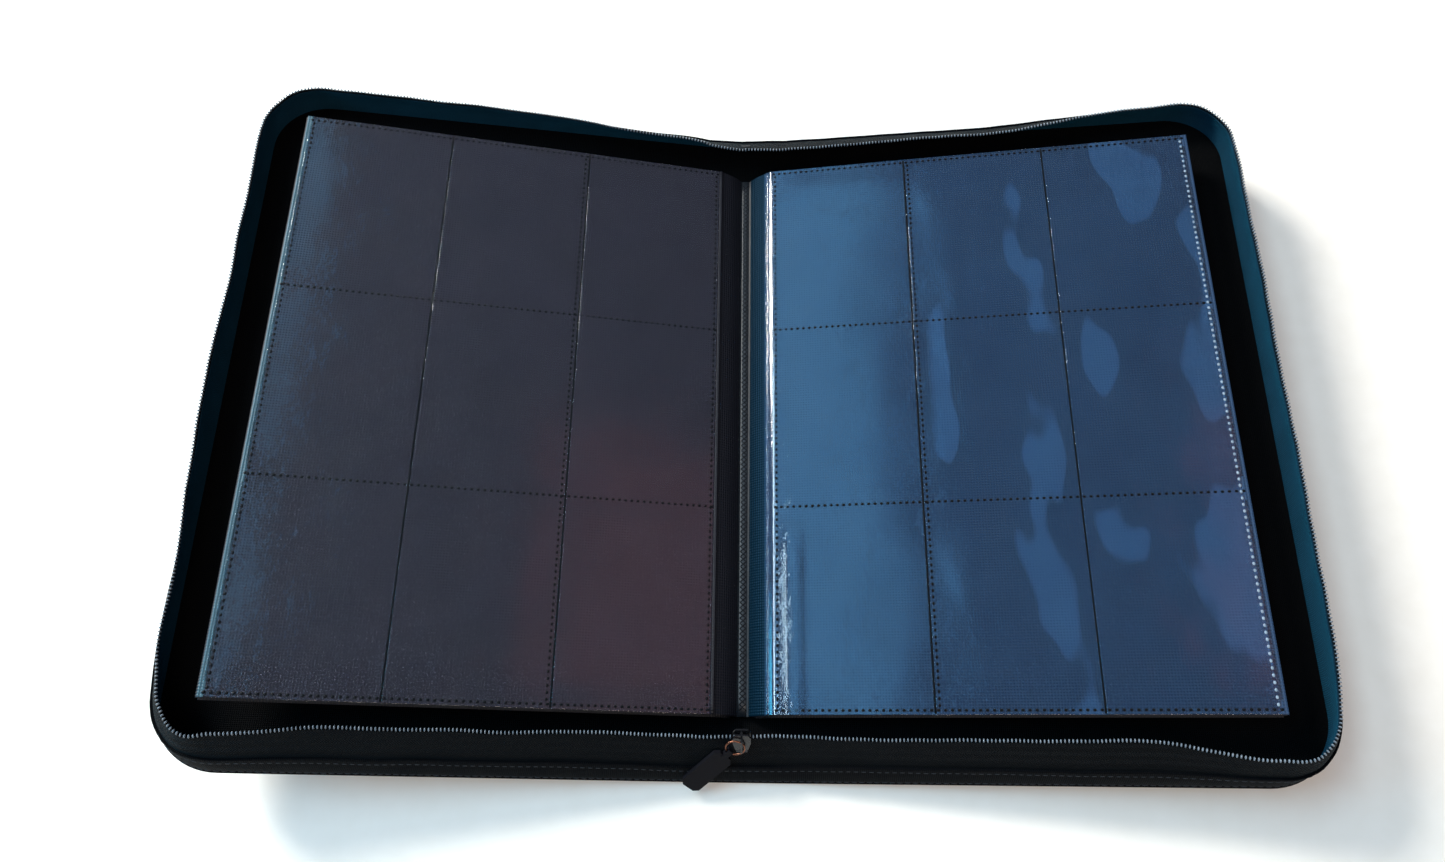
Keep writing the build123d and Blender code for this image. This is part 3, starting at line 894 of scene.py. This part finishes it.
LEAF_OUT = np.linspace(CREASE_ROUNDING, LEAF_WIDTH, 46)
LEAF_Y = np.linspace(-1, 1, 55)
BINDING = np.array([BINDING_X, BINDING_Z])


def crease_place(name, depth):
    """X and Z of the crease of a leaf that lies a depth under the top one."""
    tilt = LEAF_TILT[name]
    return np.array([CREASE_X + depth * sin(tilt), CREASE_Z - depth * cos(tilt)])


def bowed(towards, share, bow):
    """How far points along a margin stand off its line, as a sheet bent at both ends does."""
    return np.array([-towards[1], towards[0]]) * bow * np.sin(pi * share)


def margin_section(name, depth, margin_from, bow, steps, bend_steps):
    """X and Z of a leaf's margin and its rounded crease."""
    tilt = LEAF_TILT[name]
    crease = crease_place(name, depth)
    towards = unit(crease - BINDING)
    outer = crease + np.array([cos(tilt), sin(tilt)])
    first = BINDING + towards * margin_from
    bend = rounded_run(BINDING, crease, outer, CREASE_ROUNDING, bend_steps)
    share = np.linspace(0, 1, steps)[:-1, None]
    margin = first + (bend[0] - first) * share + bowed(towards, share, bow)
    return np.concatenate([margin, bend])


def along_spine(name, section, y):
    """A grid of points: a section in X and Z, carried along the spine."""
    return np.stack(
        np.broadcast_arrays(SIDES[name] * section[:, :1], y[None, :], section[:, 1:]), -1
    )


def whole_leaf(title, name, number, thickness, margin_from, material):
    """One sheet from near the binding, round its crease and out to its free edge."""
    depth = LEAF_PITCH * number + LEAF_THICKNESS / 2
    draw = np.random.default_rng(LEAF_SEEDS[name] + number)
    # Leaves under the top one sit a little out of line.
    loose = draw.uniform(-0.7, 0.7, 2) if number else np.zeros(2)
    bow = MARGIN_BOW if number < LEAVES / 2 else -MARGIN_BOW
    section = margin_section(name, depth, margin_from, bow, 7, 7)
    y = LEAF_Y * LEAF_HALF + loose[1]
    reach = LEAF_OUT[1:] * (LEAF_WIDTH + loose[0]) / LEAF_WIDTH
    outer_part = in_leaf(name, reach[:, None], y[None, :], -depth)
    grid = np.concatenate([along_spine(name, section, y), outer_part])
    return slab(title, grid, thickness, material)


def bend_at_crease(piece):
    """A sheet whose place is baked into its mesh."""
    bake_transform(piece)


def pillow(out, y, column):
    """Height of a film over its backing: nothing at the welds, full at the open slit."""
    share = (out - POCKET_START) / POCKET_WIDTH - column
    row = (y / POCKET_HEIGHT - WELD_ROWS[0]) % 1
    ends = np.minimum(1, END_STEEPNESS * np.minimum(row, 1 - row))
    from_weld = 1 - share if column == POCKET_COLUMNS - 1 else share
    rise = (1 - WELD_SWELL) * smoothstep(from_weld / SIDE_RISE)
    return smoothstep(ends) * (WELD_SWELL + rise)


def foot_fold(out, y):
    """Height of the long fold beside the crease, in the foot half of a leaf's film."""
    fading = smoothstep((FOLD_TOP - y) / FOLD_FADE)
    return FOLD_HEIGHT * fading * np.exp(-(((out - FOLD_OUT) / FOLD_WIDTH) ** 2))


def film_face(title, name, upper):
    """Three strips of clear film over one face of a top leaf, open along the slits."""
    strips = []
    for column in range(POCKET_COLUMNS):
        middle = (column + 0.5) * POCKET_WIDTH + POCKET_START
        half = (POCKET_WIDTH - SLIT) / 2
        out = (middle + half * np.linspace(-1, 1, 27))[:, None]
        y = LEAF_Y[None, :] * LEAF_HALF
        slack = LOOSE_SLACK if name == "back" and column else TAUT_SLACK
        uneven = ripple(out, y, slack, FILM_WAVE, FILM_SEED + column)
        swell = pillow(out, y, column) * (FILM_SWELL + uneven)
        if upper:
            above = -FILM / 2 + FILM_GAP + swell
            if name == "back" and column == 0:
                above = above + foot_fold(out, y)
        else:
            above = -LEAF_THICKNESS + FILM / 2 - UNDER_SWELL * swell - FILM_GAP
        strips.append(slab(f"{title} {column}", in_leaf(name, out, y, above), FILM, POCKET_FILM))
    return join(title, strips)


def weld_lines(name):
    """Lines of weld marks on a top leaf: all but the last, and the last, at its free edge."""
    lines = []
    rise = leaf_directions(name)[1]
    for row in WELD_ROWS:
        out = np.linspace(2.0, LEAF_WIDTH - 2.5, 60)
        lines.append((in_leaf(name, out, 0 * out + row * POCKET_HEIGHT, WELD_HEIGHT), rise))
    for out in WELD_COLUMNS:
        y = np.linspace(-LEAF_HALF + WELD_END, LEAF_HALF - WELD_END, 60)
        lines.append((in_leaf(name, 0 * y + out, y, WELD_HEIGHT), rise))
    return lines[:-1], lines[-1:]


def make_welds(name, body):
    """Dotted welds round the pockets, pale with painted glints along the back leaf's free edge,
    and a dark bar of painted shade along each slit.
    """
    inner, edge = weld_lines(name)
    # The back leaf's edge dots are pale: painted glints.
    edge_finish_with_back_glints = PAINTED_GLINT_WELD if name == "back" else WELD
    for title, lines, finish in (("welds", inner, WELD), ("edge_welds", edge, edge_finish_with_back_glints)):
        dots = rows(f"{name}_top_leaf_{title}", lines, *WELD_ROW, finish)
        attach(dots, body)
    across, rise = leaf_directions(name)
    y = LEAF_Y * (LEAF_HALF - 0.5)
    # Painted shade: a dark bar along each slit, where the gap between the film strips lies.
    slits = []
    for column in range(1, POCKET_COLUMNS):
        path = in_leaf(name, 0 * y + column * POCKET_WIDTH + POCKET_START, y, SLIT_SHADE_HEIGHT)
        slits.append(
            strand(f"{name} slit {column}", path, across, rise, oval(0.95, 0.3, 8), WELD)
        )
    slit = join(f"{name}_top_leaf_slit_shade_lines", slits)
    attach(slit, body)


def make_leaves(name):
    """The stack of leaves on one side, with the top one's films and welds."""
    for number in range(1, LEAVES):
        title = f"{name}_leaf_{number + 1:02d}"
        start = UNDER_MARGIN if number > 1 else SECOND_MARGIN
        leaf = whole_leaf(f"{title}_sheet", name, number, UNDER_SHEET, start, LEAF_SHEET)
        margins = [f"{name}_leaf_margins"] if number == 1 else []
        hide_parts(title, *margins)
        bend_at_crease(leaf)
    body = "turning_leaf" if name == "front" else f"{name}_leaves"
    for face, upper in (("front", True), ("back", False)):
        node = f"{name}_top_leaf_{face}_film"
        film = film_face(f"{name}_top_leaf_{'upper' if upper else 'under'}_film", name, upper)
        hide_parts(node)
        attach(film, body)
    make_welds(name, body)
    make_border(name, body)


def make_border(name, body):
    """The pressed border at a top leaf's free edge."""
    out = np.linspace(LEAF_WIDTH - BORDER, LEAF_WIDTH - 0.1, 4)[:, None]
    strip = in_leaf(name, out, LEAF_Y[None, :] * LEAF_HALF, BORDER_HEIGHT)
    border = slab(f"{name}_top_leaf_border", strip, FILM, LEAF_EDGES[name])
    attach(border, body)


def make_back_top_leaf():
    """The top back leaf: one sheet with its margin, which doesn't turn on its own."""
    # A strip of film over the crease only, which ends just past its rounding.
    margin = np.hypot(CREASE_X - BINDING_X, CREASE_Z - BINDING_Z)
    depth = -0.02
    section = margin_section("back", depth, margin - 3.4, MARGIN_BOW, 9, 11)
    tilt = LEAF_TILT["back"]
    outwards = np.array([cos(tilt), sin(tilt)])
    last = crease_place("back", depth) + outwards * (CREASE_ROUNDING + 0.6)
    section = np.concatenate([section, last[None]])
    grid = along_spine("back", section, LEAF_Y * LEAF_HALF)
    film = slab("back_top_leaf_crease_film", grid, FILM, POCKET_FILM)
    bend_at_crease(film)
    sheet = whole_leaf("back_top_leaf_sheet", "back", 0, TOP_SHEET, TOP_MARGIN, BACK_TOP_SHEET_LIT)
    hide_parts("back_top_leaf_backing", "back_top_leaf_margin")
    bend_at_crease(sheet)


def make_turning_leaf():
    """The top front leaf: panel, rounded crease and margin, each on its own body."""
    depth = LEAF_THICKNESS / 2
    y = LEAF_Y * LEAF_HALF
    out = np.linspace(0.9, LEAF_WIDTH, 46)
    grid = in_leaf("front", out[:, None], y[None, :], -depth)
    panel = slab("front_top_leaf_sheet", grid, TOP_SHEET, FRONT_TOP_SHEET_LIT)
    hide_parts("front_top_leaf_backing")
    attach(panel, "turning_leaf")
    crease = crease_place("front", depth)
    path = np.stack(np.broadcast_arrays(-crease[0], y, crease[1] - 0.1), -1)
    rib = strand("front_top_leaf_fold", path, ACROSS, UPWARDS, oval(2.0, 1.6, 12), LEAF_SHEET)
    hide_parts("front_top_leaf_crease")
    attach(rib, "turning_crease")
    towards = unit(crease - BINDING)
    share = np.linspace(0, 1, 12)[:, None]
    # The margin ends just short of the fold.
    length = np.linalg.norm(crease - BINDING) - (TOP_MARGIN + 0.5)
    section = BINDING + towards * (TOP_MARGIN + length * share)
    section = section + bowed(towards, share, TURNING_BOW)
    grid = along_spine("front", section, y)
    margin = slab("front_top_leaf_margin_sheet", grid, TOP_SHEET, LEAF_SHEET)
    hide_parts("front_top_leaf_margin")
    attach(margin, "turning_margin")


def make_binding():
    """Zigzag weld that holds the leaves down the middle of the spine."""
    reach = LEAF_HALF - 3
    steps = int(2 * reach / ZIGZAG_STEP)
    y = np.linspace(-reach, reach, steps + 1)
    lines = []
    for way in (-1, 1):
        swing = way * ZIGZAG_SWING * (-1) ** np.arange(steps + 1)
        path = np.stack([swing, y, 0 * y + BINDING_Z + ZIGZAG_HEIGHT], -1)
        lines.append((path, UPWARDS))
    weld = rows("binding_zigzag_weld", lines, *ZIGZAG_ROW, WELD)
    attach(weld, "spine")
    y = np.linspace(-LEAF_HALF, LEAF_HALF, 40)
    path = np.stack([0 * y, y, 0 * y + BINDING_Z + STRIP_HEIGHT], -1)
    bead = strand(
        "binding_weld_strip", path, ACROSS, UPWARDS, oval(4.4, 1.3, 12, 0.7), BINDING_TAPE
    )
    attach(bead, "spine")


# ---- materials of CAD pieces

CAD_FINISHES = {
    "front_cover_board": PULP_BOARD, "back_cover_board": PULP_BOARD, "spine_board": PULP_BOARD,
    "binding_strip": BINDING_TAPE, "front_weld_bar": BINDING_TAPE, "back_weld_bar": BINDING_TAPE,
    "foot_end_stop": END_STOP, "head_end_stop": END_STOP,
    "zip_slider": ENAMEL, "slider_bridge": ENAMEL, "pull_ring": COPPER, "pull_tab": SOFT_PVC,
}


def dress_cad_pieces():
    """Give the CAD pieces that stay their real finish."""
    for name, material in CAD_FINISHES.items():
        carried = frame["nodes"][name]
        for slot in carried.material_slots:
            slot.material = material


# ---- stage, light, camera


def make_floor():
    """A wide pale sweep for the binder to lie on."""
    reach = 4  # metres
    corners = [(-reach, -reach, 0), (reach, -reach, 0), (reach, reach, 0), (-reach, reach, 0)]
    mesh = bpy.data.meshes.new("paper_sweep")
    mesh.from_pydata(corners, [], [(0, 1, 2, 3)])
    make_object("paper_sweep", mesh, PAPER)


def make_light(name, place, target, size, power, colour):
    """A soft rectangular light that faces a target; places in metres."""
    data = bpy.data.lights.new(name, "AREA")
    data.shape = "RECTANGLE"
    data.size, data.size_y = size
    data.energy = power
    data.color = linear(colour)[:3]
    lamp = bpy.data.objects.new(name, data)
    lamp.location = place
    aim = Vector(target) - Vector(place)
    lamp.rotation_euler = aim.to_track_quat("-Z", "Y").to_euler()
    bpy.context.scene.collection.objects.link(lamp)


def make_camera():
    """Camera above and in front of the foot of the spine, looking down steeply."""
    target = Vector((-10.8, -8.3, 16.0)) * MM
    distance, elevation, yaw, roll = 0.508, radians(69.15), radians(4.28), radians(-3.72)
    back = Vector((sin(yaw) * cos(elevation), -cos(yaw) * cos(elevation), sin(elevation)))
    level = Vector((0, 0, 1)).cross(back).normalized()
    above = back.cross(level)
    right = cos(roll) * level + sin(roll) * above
    up = -sin(roll) * level + cos(roll) * above
    data = bpy.data.cameras.new("camera")
    data.sensor_width = 36.0
    data.lens = 25.19
    camera = bpy.data.objects.new("camera", data)
    turn = Matrix((right, up, back)).transposed().to_4x4()
    camera.matrix_world = Matrix.Translation(target + back * distance) @ turn
    bpy.context.scene.collection.objects.link(camera)
    bpy.context.scene.camera = camera


def make_studio():
    """Soft cold light overhead, a key from the far left, a faint warm panel and a fill."""
    world = bpy.data.worlds.new("studio")
    bpy.context.scene.world = world
    world.use_nodes = True
    sky = world.node_tree.nodes["Background"]
    sky.inputs["Color"].default_value = linear("#c4c8d8")
    sky.inputs["Strength"].default_value = 0.30
    # Mirrored by the film of the back leaf's first column and by nothing else that is flat.
    make_light("cold softbox", (-0.77, 1.15, 3.0), (-0.77, 1.15, 0), (0.78, 2.6), 12, "#68b6ea")
    # A bright strip that the rounded creases and the teeth pick up.
    make_light("strip", (-1.75, 0.7, 3.0), (-1.75, 0.7, 0), (0.8, 1.9), 60, "#d2f0ff")
    make_light("key", (-1.5, 1.2, 1.4), (0, 0, 0), (0.6, 0.6), 78, "#fffaf2")
    make_light("warm panel", (1.15, 0.6, 3.0), (1.15, 0.6, 0), (0.9, 1.1), 0.75, "#ff7a58")
    make_light("cold side", (-1.2, -0.1, 0.75), (0.2, 0, 0.03), (0.5, 0.5), 7.0, "#3fb0dc")
    # Lifts the floor's shadows from outside every direction that the film mirrors.
    make_light("fill", (0.5, -1.9, 2.6), (0, 0, 0), (1.6, 1.2), 38, "#ffeedd")
    bpy.context.scene.view_settings.view_transform = "Standard"


make_camera()
for cover in SIDES:
    make_cover(cover)
    make_leaves(cover)
make_back_top_leaf()
make_turning_leaf()
make_binding()
dress_cad_pieces()
make_floor()
make_studio()
